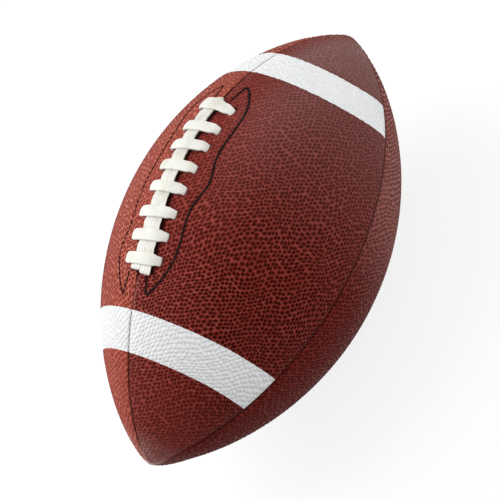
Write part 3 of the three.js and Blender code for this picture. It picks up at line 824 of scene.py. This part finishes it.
def markLeather(piece, middle, laced, order):
    # where each point lies on the flat hide, how far its grain stands, how it is worn, and where shade and
    # light are painted on it
    mesh = piece.data
    points = meshPoints(mesh)
    points = points - tipPinch(points[:, 0])
    x = np.clip(points[:, 0], -ball["halfLength"], ball["halfLength"])
    y, z = points[:, 1], points[:, 2] - ball["middleHeight"]
    radius, _, normalR = outline(x)
    angle = (np.arctan2(y, z) - middle + np.pi) % (2 * np.pi) - np.pi
    depth = (radius - np.hypot(y, z)) * normalR
    u = np.interp(x, tableX, tableU)
    w = radius * angle
    edge = radius * np.pi / 4 - np.abs(w)
    tipRun = tableU[-1] - np.abs(u)
    outside = worn("outside", depth)
    relief = outside * worn("grainSeam", edge) * worn("grainTip", tipRun)
    relief = relief * worn("grainFloor", points[:, 2])
    (much, rate), (less, slow) = wearShadeAndLight["wobble"]
    uneven = edge * (1 + much * np.sin(rate * u + middle) + less * np.sin(slow * u + 2 * middle))
    seam = np.maximum(worn("seamLine", edge), worn("seamShade", uneven))
    rearSide = (x < 0) & (np.abs(middle + angle) > np.pi / 4)
    seam = seam * np.where(rearSide, worn("rearSideTips", tipRun), worn("seamTips", tipRun))
    seam = np.maximum(seam, worn("deep", depth) * worn("deepTips", tipRun))
    rubAndBounce = worn("rubSeamTips", tipRun) * worn("rubSeam", uneven)
    rubAndBounce = np.maximum(worn("tipRubAndBounce", tipRun), rubAndBounce)
    rubAndBounce = np.maximum(rubAndBounce, np.where(x < 0, worn("rubRear", tipRun), worn("rubFront", tipRun)))
    laceLight = np.zeros_like(u)
    if laced:
        seamSide = np.abs(middle) * radius + np.sign(middle) * w
        side = int(np.sign(middle))
        for k in range(len(crossX)):
            off = fromHole(x, seamSide, k, side, wearShadeAndLight["hole"])
            relief = relief * worn("holeGrain", off)
            seam = np.maximum(seam, worn("holeShade", off))
        slit = worn("slit", edge) * (seamSide < wearShadeAndLight["slitWidth"])
        slit = slit * worn("slitEnds", np.abs(x))
        trough = distanceToLine(x, seamSide, evenly(moonLine(side), lacing["moonStep"]))
        trough = worn("trough", trough) * (seamSide < lacing["moonReach"])
        spine, half = spineAt(x)
        under = worn("under", np.abs(side * seamSide - spine) - half) * (seamSide < wearShadeAndLight["underWidth"])
        under = under * worn("underRear", x) * worn("underFront", x)
        shade = np.maximum(np.maximum(slit, wearShadeAndLight["troughShade"][side] * trough), under)
        seam = np.maximum(seam, shade * outside)
        front, rear = (smooth(*ends, x) for ends in wearShadeAndLight["flatAlong"])
        flatSeam = front * rear * worn("flatWidth", seamSide) * outside
        seam = seam * (1 - wearShadeAndLight["flatShade"] * flatSeam)
        if side < 0:
            rubAndBounce = np.maximum(rubAndBounce, flatSeam * worn("flatRub", seamSide))
        turn = np.degrees(seamSide / np.maximum(radius, 1.0))
        sway = [eased(turn, leather["stripeSway"][side][way], leather["stripeEase"])[0]
                for way in (1, -1)]
        storePoints(mesh, "stripePlace", np.abs(x) - np.where(x > 0, *sway))
        # painted light near the lacing, least of it in front
        least, *run = wearShadeAndLight["laceLightFront"]
        laceLight = worn("laceLight", seamSide) * (least + (1 - least) * smooth(*run, x))
    marks = {"flat": np.stack([u + grain["hideApart"] * order, w, 0 * u], -1), "relief": relief,
             "seam": np.clip(seam, 0, 1), "rubAndBounce": np.clip(rubAndBounce, 0, 1), "laceLight": laceLight}
    for key, values in marks.items():
        storePoints(mesh, key, values)
    layHideFlat(mesh, u, w, depth)


def layHideFlat(mesh, u, w, depth):
    # the outside fills the sheet, the underside a strip along its top
    corners = readAll(mesh.loops, "vertex_index")
    starts, sizes = (readAll(mesh.polygons, key) for key in ("loop_start", "loop_total"))
    deepest = np.maximum.reduceat(depth[corners], starts)
    below = np.repeat(deepest > sheet["undersideDepth"], sizes)
    wide = np.pi / 4 * ball["halfWidth"]
    shareU = (u / (2 * tableU[-1]) + 0.5)[corners]
    shareV = (w / (2 * wide) + 0.5)[corners]
    along, outside, underside = (np.array(sheet[key]) for key in ("along", "outside", "underside"))
    sheetV = np.where(below, underside[0] + underside[1] * shareV, outside[0] + outside[1] * shareV)
    spots = np.stack([along[0] + along[1] * shareU, sheetV], -1)
    layer = mesh.uv_layers.new(name="OFBake")
    layer.data.foreach_set("uv", spots.astype(np.float32).ravel())


def valvePoint(a, b, height):
    # a along the ball, b round it, height out from the middle along the valve's axis
    a, b, height = np.broadcast_arrays(*(np.asarray(v, float) for v in (a, b, height)))
    turn = math.radians(cover["valveAngle"])
    return np.stack([a, b * math.cos(turn) + height * math.sin(turn),
                     -b * math.sin(turn) + height * math.cos(turn) + ball["middleHeight"]], -1)


relief = reliefGroup()
quarters = {
    "lace_panel_left": (math.pi / 4, True, sideLitLeather),
    "lace_panel_right": (-math.pi / 4, True, stripedLeather),
    "base_panel_left": (3 * math.pi / 4, False, plainLeather),
    "base_panel_right": (-3 * math.pi / 4, False, plainLeather),
}
for order, (node, (middle, laced, material)) in enumerate(quarters.items()):
    piece = panelMesh("leather_" + node, middle, laced, material)
    if laced:
        cutWith(piece, laceSlots(int(np.sign(middle))))
    elif node == "base_panel_left":
        cutWith(piece, valveCutter())
    markLeather(piece, middle, laced, order)
    change = piece.modifiers.new("pebbles", "NODES")
    change.node_group = relief
    bakeModifiers(piece)
    piece.data.shade_smooth()
    piece.data.set_sharp_from_angle(angle=math.radians(cover["sharpFrom"]))
    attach(piece, "ball")
    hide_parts(node)
    print("panel", piece.name, len(piece.data.polygons), "faces")

stitch = {
    "pitch": 3.0,
    "cover": 0.93,                   # share of the pitch that shows
    "radius": {1: 0.30, -1: 0.50},   # left and right
    "lift": 0.12,
    "dive": 0.85,
    "level": 4,                      # the higher, the longer a stitch stays level before it dives
    "wander": 0.22,                  # hand-sewn wobble
    "wanderWays": (0.4, 1.0),        # share of it along the line and across it
    "seed": 7,
    "sides": 8,
    "rings": 9,
}


def capsules(paths, radius, sides, bluntness=6, smallest=0.03):
    # closed threads along short paths, round at both ends
    points, faces = [], []
    turn = np.linspace(0, 2 * np.pi, sides, endpoint=False)
    for path in paths:
        start = len(points) * sides
        along = np.gradient(path, axis=0)
        along = along / np.linalg.norm(along, axis=1)[:, None]
        up = (path - (0, 0, ball["middleHeight"])) * (0, 1, 1)
        across = np.cross(along, up)
        across = across / np.linalg.norm(across, axis=1)[:, None]
        up = np.cross(across, along)
        share = np.linspace(-1, 1, len(path))
        size = radius * np.clip(1 - np.abs(share) ** bluntness, smallest, 1) ** 0.5
        for k in range(len(path)):
            ring = np.cos(turn)[:, None] * across[k] + np.sin(turn)[:, None] * up[k]
            points.append(path[k] + size[k] * ring)
        faces += ringFaces(len(path), sides, start)
    return np.concatenate(points), faces


random = np.random.default_rng(stitch["seed"])
for side, word in ((1, "left"), (-1, "right")):
    stops = evenly(moonLine(side), stitch["pitch"])
    wobble = random.normal(0, stitch["wander"], stops[1:-1].shape)
    stops[1:-1] = stops[1:-1] + wobble * stitch["wanderWays"]
    paths = []
    for a, b in zip(stops[:-1], stops[1:]):
        t = np.linspace(0.5 - stitch["cover"] / 2, 0.5 + stitch["cover"] / 2, stitch["rings"])
        run = a + t[:, None] * (b - a)
        fromMiddle = np.abs(np.linspace(-1, 1, stitch["rings"]))
        arch = stitch["lift"] - stitch["dive"] * fromMiddle ** stitch["level"]
        paths.append(onBall(run[:, 0], side * run[:, 1], arch))
    points, faces = capsules(paths, stitch["radius"][side], stitch["sides"])
    piece = makePiece("moon_stitch_" + word, points, faces, blackThread)
    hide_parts("facing_stitch_" + word)
print("half-moon stitches made")

seamStitch = {
    "pitch": 3.1,
    "from": 66.0,          # first one, along the ball
    "tipMargin": 14.0,
    "radius": 0.24,
    "depth": 0.58,
    "reach": 0.75,         # to each side of the seam
    "slant": 0.35,
    "dive": 0.4,
    "level": 4,
    "sides": 6,
    "rings": 7,
}
for word, way in (("front", 1), ("rear", -1)):
    first = np.interp(seamStitch["from"], tableX, tableU)
    at = np.arange(first, tableU[-1] - seamStitch["tipMargin"], seamStitch["pitch"]) * way
    t = np.linspace(-1, 1, seamStitch["rings"])
    height = -seamStitch["depth"] - seamStitch["dive"] * t ** seamStitch["level"]
    paths = [onBall(x + seamStitch["slant"] * t, seamStitch["reach"] * t, height)
             for x in np.interp(at, tableU, tableX)]
    points, faces = capsules(paths, seamStitch["radius"], seamStitch["sides"])
    makePiece("seam_stitch_" + word, points, faces, blackThread)
print("seam stitches made")

lace = {
    "halfWidth": 3.2,
    "halfThick": 0.78,
    "corner": 0.6,
    "crown": 0.26,
    "grooves": (-1.5, 0.0, 1.5),
    "grooveDepth": 0.10,
    "grooveWidth": 0.3,
    "crest": 2.58,         # middle of the lace where it lies over the strands
    "crestRise": 0.12,     # and a little higher over the seam
    "overEdge": 0.4,       # stays level this far past the strands
    "endHeight": 1.05,
    "inside": -8.1,
    "tuck": 9.0,
    "bend": 2.2,
    "step": 0.6,
    "neck": 0.78,          # width where it dives, as a share
    "neckRun": (3.4, 0.4),         # distance from the hole
    "neckHeight": (-8.0, -4.0),    # wide again inside the ball
    "lastPull": 1.3,       # the front cross runs back to its right hole
    "lastSpread": 0.46,    # and is pressed wide over its front edge
    "spreadAlong": (-5.0, -3.0),   # from the middle of that cross
    "spreadHole": (0.6, 4.0),      # not by its holes
    "spreadHeight": (0.6, 1.6),    # nor inside the ball
    "spreadAside": (-8.5, -2.5),   # growing from its right end
}


def roundCorners(points, radius, steps=7, most=0.48):
    # each bend takes up no more than this share of the runs beside it
    line = [points[0]]
    for before, corner, after in zip(points[:-2], points[1:-1], points[2:]):
        back, on = before - corner, after - corner
        start = corner + back * min(radius / np.linalg.norm(back), most)
        end = corner + on * min(radius / np.linalg.norm(on), most)
        for t in np.linspace(0, 1, steps):
            line.append((1 - t) ** 2 * start + 2 * t * (1 - t) * corner + t ** 2 * end)
    line.append(points[-1])
    return np.array(line)


def stripSection(strip, margin=0.3):
    # rounded flat strip, seen from its end: across, up
    flatHalf, width = strip["halfWidth"] - strip["corner"], strip["grooveWidth"]
    bend = np.linspace(0, np.pi / 2, 5)
    points = []
    for signX, signY, turn in ((1, 1, 0), (-1, 1, 1), (-1, -1, 2), (1, -1, 3)):
        angle = bend + turn * np.pi / 2
        points.append(np.stack([signX * flatHalf + strip["corner"] * np.cos(angle),
                                signY * (strip["halfThick"] - strip["corner"])
                                + strip["corner"] * np.sin(angle)], -1))
        if turn == 0:
            marks = {flatHalf - margin, -(flatHalf - margin), 0.0}
            for groove in strip["grooves"]:
                marks |= {groove - width, groove, groove + width}
            top = np.array(sorted(marks, reverse=True))
            lift = strip["crown"] * (1 - (top / flatHalf) ** 2)
            for groove in strip["grooves"]:
                lift = lift - strip["grooveDepth"] * np.clip(1 - np.abs(top - groove) / width, 0, 1)
            points.append(np.stack([top, strip["halfThick"] + lift], -1))
    return np.concatenate(points)


def lacePath():
    # down the middle of the lace: along the ball, round it from the seam, height over the leather
    left, right, inside = lacing["rows"][1], lacing["rows"][-1], lace["inside"]
    points = [(holeX(0, -1), -right + lace["tuck"], inside)]
    for k, x in enumerate(crossX):
        middle, half = spineAt(x)
        half = half + lace["overEdge"]
        pull = lace["lastPull"] if k == len(crossX) - 1 else 0.0
        for y, z in ((-right, inside), (-right, lace["endHeight"]), (middle - half, lace["crest"]),
                     (middle, lace["crest"] + lace["crestRise"]), (middle + half, lace["crest"]),
                     (left, lace["endHeight"]), (left, inside)):
            points.append((x + lacing["lean"][k] * y - (pull if y == -right else 0.0), y, z))
        if k < len(crossX) - 1:
            points.append(((x + crossX[k + 1]) / 2, 0, inside))
    points.append((holeX(len(crossX) - 1, 1), left - lace["tuck"], inside))
    return evenly(roundCorners(np.array(points, float), lace["bend"]), lace["step"])


path = lacePath()
section = stripSection(lace)
direction = np.gradient(path[:, 1:], axis=0)
direction = direction / np.maximum(np.linalg.norm(direction, axis=1), 1e-9)[:, None]
square = np.stack([-direction[:, 1], direction[:, 0]], -1)
# the lace narrows where it dives into a hole
toHole = np.minimum(np.abs(path[:, 1] - lacing["rows"][1]), np.abs(path[:, 1] + lacing["rows"][-1]))
neck = (1 - lace["neck"]) * smooth(*lace["neckRun"], toHole)
neck = 1 - neck * smooth(*lace["neckHeight"], path[:, 2])
spread = lace["lastSpread"] * smooth(*lace["spreadAlong"], path[:, 0] - crossX[-1])
spread = spread * smooth(*lace["spreadHole"], toHole)
spread = spread * smooth(*lace["spreadHeight"], path[:, 2]) * smooth(*lace["spreadAside"], path[:, 1])
across = section[None, :, 0] * neck[:, None] + np.maximum(section[None, :, 0], 0) * spread[:, None]
points = onBall(path[:, :1] + across,
                path[:, 1:2] + section[None, :, 1] * square[:, :1],
                path[:, 2:] + section[None, :, 1] * square[:, 1:])
piece = makePiece("cross_lace", points.reshape(-1, 3), ringFaces(len(path), len(section)), laceSkin)
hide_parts("lace")
print("cross lace made", len(piece.data.polygons), "faces")

strand = {
    "low": 0.20,
    "high": 1.85,
    "arch": 0.55,              # how far the strands bow up between the crosses
    "archRun": (2.6, 6.2),     # distance from a cross
    "endArch": 0.5,            # share of it past the first and last cross
    "endFrom": 2,
    # the section is drawn at this size, then fitted to the room by the seam
    "halfWidth": 3.0,
    "halfThick": 1.0,
    "corner": 0.42,
    "crown": 0.10,
    "grooves": (-1.5, 0.1, 1.6),
    "grooveDepth": 0.26,
    "grooveWidth": 0.22,
    "gap": 0.05,
    "undercut": 0.30,          # how much narrower the underside is
    "undercutRun": (0.75, 0.2),
    "ends": {"left": (-55.4, 52.2), "right": (-56.8, 53.2)},
    "step": 0.6,
    "endRound": 1.1,
    "endThin": 0.02,
    "endWidth": (0.7, 0.3),    # width at the very end, and what it gains
}
section = stripSection(strand)
for side, word in ((1, "left"), (-1, "right")):
    low, high = strand["ends"][word]
    x = np.arange(low, high + strand["step"] / 2, strand["step"])
    x = x + (high - x[-1]) * (x - low) / (x[-1] - low)
    fromCross = np.abs(x[:, None] - crossX[None, :]).min(1)
    rise = strand["arch"] * smooth(*strand["archRun"], fromCross)
    rise[(x < crossX[0] - strand["endFrom"]) | (x > crossX[-1] + strand["endFrom"])] *= strand["endArch"]
    fromEnd = np.clip(np.minimum(x - low, high - x) / strand["endRound"], 0, 1)
    ease = np.sqrt(np.clip(1 - (1 - fromEnd) ** 2, strand["endThin"], 1))
    shrink = strand["endWidth"][0] + strand["endWidth"][1] * ease
    middle, half = spineAt(x)
    around = section[None, :, 0] / strand["halfWidth"] * ((half - strand["gap"]) / 2 * shrink)[:, None]
    share = (section[None, :, 1] / strand["halfThick"] + 1) / 2
    around = around * (1 - strand["undercut"] * smooth(*strand["undercutRun"], share))
    around = middle[:, None] + side * (half[:, None] / 2 + around)
    height = (0.5 + (share - 0.5) * ease[:, None]) * (strand["high"] - strand["low"])
    points = onBall(x[:, None], around, strand["low"] + rise[:, None] + height)
    piece = makePiece("lace_run_" + word, points.reshape(-1, 3), ringFaces(len(x), len(section)), laceSkin)
    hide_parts("lace_strand_" + word)
print("lace strands made")

# the valve is turned: radius, height out from the middle of the ball
valve = {
    "sides": 48,
    "sharpFrom": 40.0,     # degrees
    "housing": ((0.8, 63.4), (4.4, 63.4), (4.4, 67.2), (10.0, 67.2), (10.0, 69.6), (4.6, 70.0),
                (4.4, 70.3), (4.4, 75.9), (3.0, 76.2), (3.0, 77.8), (2.9, 78.05), (2.7, 78.18),
                (2.45, 78.2), (2.2, 78.15), (2.05, 78.0), (2.0, 77.8), (2.0, 64.9), (0.8, 64.9)),
    "core": ((0.02, 65.2), (1.2, 65.2), (1.7, 66.7), (1.7, 77.85), (1.6, 78.08), (1.4, 78.18),
             (0.9, 78.2), (0.7, 78.14), (0.6, 77.95), (0.6, 74.2), (0.02, 73.6)),
}


def turnedPiece(name, profile, body, node):
    turn = np.linspace(0, 2 * np.pi, valve["sides"], endpoint=False)
    loop = np.array(profile)
    points = [valvePoint(loop[:, 0] * math.cos(t), loop[:, 0] * math.sin(t), loop[:, 1]) for t in turn]
    faces = ringFaces(len(turn), len(loop), ends="joined")
    piece = makePiece(name, np.concatenate(points), faces, valveRubber, body)
    piece.data.set_sharp_from_angle(angle=math.radians(valve["sharpFrom"]))
    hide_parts(node)


turnedPiece("valve_nose", valve["housing"], "ball", "valve_housing")
turnedPiece("valve_plug_core", valve["core"], "valve_plug", "valve_core")
print("valve made")

# inner pieces keep their solids, with a finish of their own
inner = {
    "lace_lining_left": liningCloth, "lace_lining_right": liningCloth,
    "base_lining_left": liningCloth, "base_lining_right": liningCloth,
    "facing_left": facingHide, "facing_right": facingHide, "lace_tongue": facingHide,
    "seam_thread_left": waxedThread, "seam_thread_right": waxedThread, "seam_thread_base": waxedThread,
    "seam_thread_lace_front": waxedThread, "seam_thread_lace_rear": waxedThread,
    "bladder": bladderRubber, "valve_patch": valveRubber,
}
for node, material in inner.items():
    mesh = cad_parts[node].data
    mesh.materials.clear()
    mesh.materials.append(material)
print("inner pieces finished")

# floor, light and camera
studio = {
    "floorHalf": 4.0,
    "floorShown": (0.20, 0.20, 0.20),    # as it is seen, with the shadow
    "floorGlow": 0.82,                   # makes it pale where it is seen
    "floorBounce": (0.30, 0.29, 0.29),   # as it lights the ball
    "ambient": 0.56,
    "aim": (-0.0054, 0.0005, 0.0765),
    "eye": (-0.19869, -0.52659, 0.60931),
    "right": (0.415172, -0.717526, -0.559275),
    "up": (0.874804, 0.146140, 0.461910),
    "lens": 94.87,
    "sensor": 36.0,
    "clip": (0.01, 50),
    # each lamp: left, up and towards the camera as seen in the picture, then size and watts
    "lamps": {
        "side": (1.00, 0.25, -0.15, 0.8, 8.3),
        "front": (1.00, 0.45, 0.50, 0.6, 5.0),
        "right": (-0.75, 0.40, 0.65, 1.0, 8.4),
    },
    "lampAway": 1.3,
}


def shownRays(tree):
    path = addNode(tree, "ShaderNodeLightPath")
    rays = calc(tree, "MAXIMUM", path.outputs["Is Camera Ray"], path.outputs["Is Glossy Ray"])
    return calc(tree, "MAXIMUM", rays, path.outputs["Is Transmission Ray"])


def emptyTree(owner):
    owner.use_nodes = True
    owner.node_tree.nodes.clear()
    return owner.node_tree


def makeFloor():
    half = studio["floorHalf"]
    mesh = bpy.data.meshes.new("floor")
    corners = [(-half, -half, 0), (half, -half, 0), (half, half, 0), (-half, half, 0)]
    mesh.from_pydata(corners, [], [(0, 1, 2, 3)])
    floor = addObject("floor", mesh)
    material = bpy.data.materials.new("paleFloor")
    tree = emptyTree(material)
    rays = shownRays(tree)
    colour = mixColour(tree, rays, studio["floorBounce"], studio["floorShown"])
    matt = addNode(tree, "ShaderNodeBsdfDiffuse", {"Color": colour})
    glow = addNode(tree, "ShaderNodeEmission", {"Strength": times(tree, rays, studio["floorGlow"])})
    both = addNode(tree, "ShaderNodeAddShader", {0: matt.outputs[0], 1: glow.outputs[0]})
    addNode(tree, "ShaderNodeOutputMaterial", {"Surface": both.outputs[0]})
    mesh.materials.append(material)


def makeWorld():
    world = bpy.data.worlds.new("studio")
    tree = emptyTree(world)
    soft, white = (addNode(tree, "ShaderNodeBackground", {"Color": (1, 1, 1, 1), "Strength": strength})
                   for strength in (studio["ambient"], 1.0))
    both = addNode(tree, "ShaderNodeMixShader", {0: shownRays(tree), 1: soft.outputs[0],
                                                 2: white.outputs[0]})
    addNode(tree, "ShaderNodeOutputWorld", {"Surface": both.outputs[0]})
    bpy.context.scene.world = world


def makeCamera():
    right, up = Vector(studio["right"]).normalized(), Vector(studio["up"])
    up = (up - right * up.dot(right)).normalized()
    back = right.cross(up)
    data = bpy.data.cameras.new("camera")
    data.sensor_width = studio["sensor"]
    data.lens = studio["lens"]
    data.clip_start, data.clip_end = studio["clip"]
    camera = addObject("camera", data)
    turn = Matrix((right, up, back)).transposed()
    camera.matrix_world = Matrix.Translation(studio["eye"]) @ turn.to_4x4()
    bpy.context.scene.camera = camera
    return right, up, back


def makeLamps(right, up, back):
    aim = Vector(studio["aim"])
    for name, (left, high, near, size, watts) in studio["lamps"].items():
        way = (-right * left + up * high + back * near).normalized()
        data = bpy.data.lights.new(name, "AREA")
        data.shape = "DISK"
        data.size = size
        data.energy = watts
        lamp = addObject(name, data)
        lamp.location = aim + way * studio["lampAway"]
        lamp.rotation_mode = "QUATERNION"
        lamp.rotation_quaternion = (-way).to_track_quat("-Z", "Y")


makeFloor()
makeWorld()
makeLamps(*makeCamera())
bpy.context.scene.view_settings.view_transform = "Standard"
print("studio ready")
